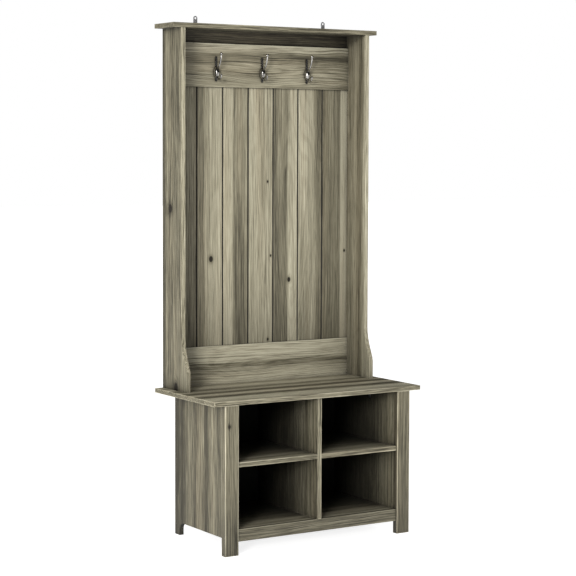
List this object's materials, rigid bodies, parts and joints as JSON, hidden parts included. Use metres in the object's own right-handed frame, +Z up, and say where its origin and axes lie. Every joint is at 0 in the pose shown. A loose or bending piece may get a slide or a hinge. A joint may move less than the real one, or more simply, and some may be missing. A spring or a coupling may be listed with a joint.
{
  "type": "hall tree",
  "caption": "Hall tree with an open-cubby bench, a tall planked back between two side boards, a coat-hook rail and a flat top board.",
  "frame": {"origin": "on the floor, under the middle of the overall box", "axes": "+Z up, -Y towards the person using it, +X to that person's right when they face the hall tree"},
  "size_m": [0.8, 0.4, 1.733],
  "materials": {
    "oak_laminate": "grey-olive wood-grain laminate on board, matt",
    "dark_hardboard": "thin dark-faced hardboard, matt",
    "hook_metal": "polished nickel",
    "tab_steel": "zinc-plated sheet",
    "screw_steel": "zinc-plated",
    "cam_zinc": "die-cast zinc, dull",
    "beech": "fluted hardwood dowel"
  },
  "bodies": {
    "root": {"bench_top": "oak_laminate", "apron": "oak_laminate", "bench_floor": "oak_laminate", "divider": "oak_laminate", "shelf_left": "oak_laminate", "shelf_right": "oak_laminate", "bench_side_left": "oak_laminate", "bench_side_right": "oak_laminate", "leg_left": "oak_laminate", "leg_right": "oak_laminate", "bench_back": "dark_hardboard", "hutch_side_left": "oak_laminate", "hutch_side_right": "oak_laminate", "top_board": "oak_laminate", "hook_rail": "oak_laminate", "low_rail": "oak_laminate", "planks": "oak_laminate", "top_cleat": "oak_laminate", "hook_left": "hook_metal", "hook_centre": "hook_metal", "hook_right": "hook_metal", "hook_screws": "screw_steel", "wall_tab_left": "tab_steel", "wall_tab_right": "tab_steel", "tab_screws": "screw_steel", "crown_screws": "screw_steel", "seat_screws": "screw_steel", "cam_locks": "cam_zinc", "cam_studs": "screw_steel", "dowels": "beech", "back_nails": "screw_steel"}
  },
  "joints": []
}
